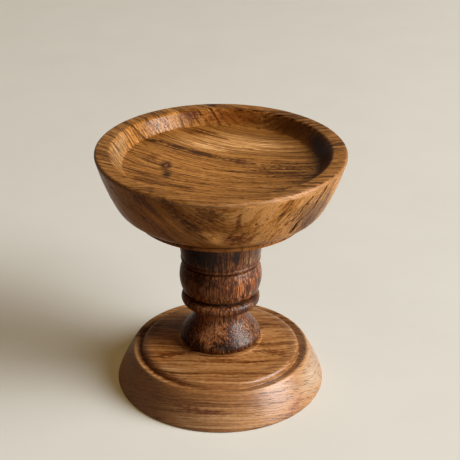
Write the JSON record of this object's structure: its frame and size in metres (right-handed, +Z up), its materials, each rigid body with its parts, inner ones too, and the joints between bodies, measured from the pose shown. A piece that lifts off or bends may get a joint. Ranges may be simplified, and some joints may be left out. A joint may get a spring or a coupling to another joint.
{
  "type": "candle stand",
  "caption": "Turned wooden stand for a pillar candle: a flared dish with a sunk flat seat on a dark beaded stem and a wide moulded base.",
  "frame": {"origin": "centre of the base's underside", "axes": "+Z up along the axis that the pieces are turned about; the stand is round, and the picture looks along +Y with +X to the right"},
  "size_m": [0.102, 0.102, 0.1068],
  "materials": {
    "light_wood": "oiled and lightly polished, golden brown open grain",
    "dark_wood": "polished, dark red brown with upright pores",
    "screw_steel": "zinc plated"
  },
  "bodies": {
    "root": {"base": "light_wood", "stem": "dark_wood", "dish": "light_wood", "base_screw": "screw_steel", "dish_screw": "screw_steel"}
  },
  "joints": []
}
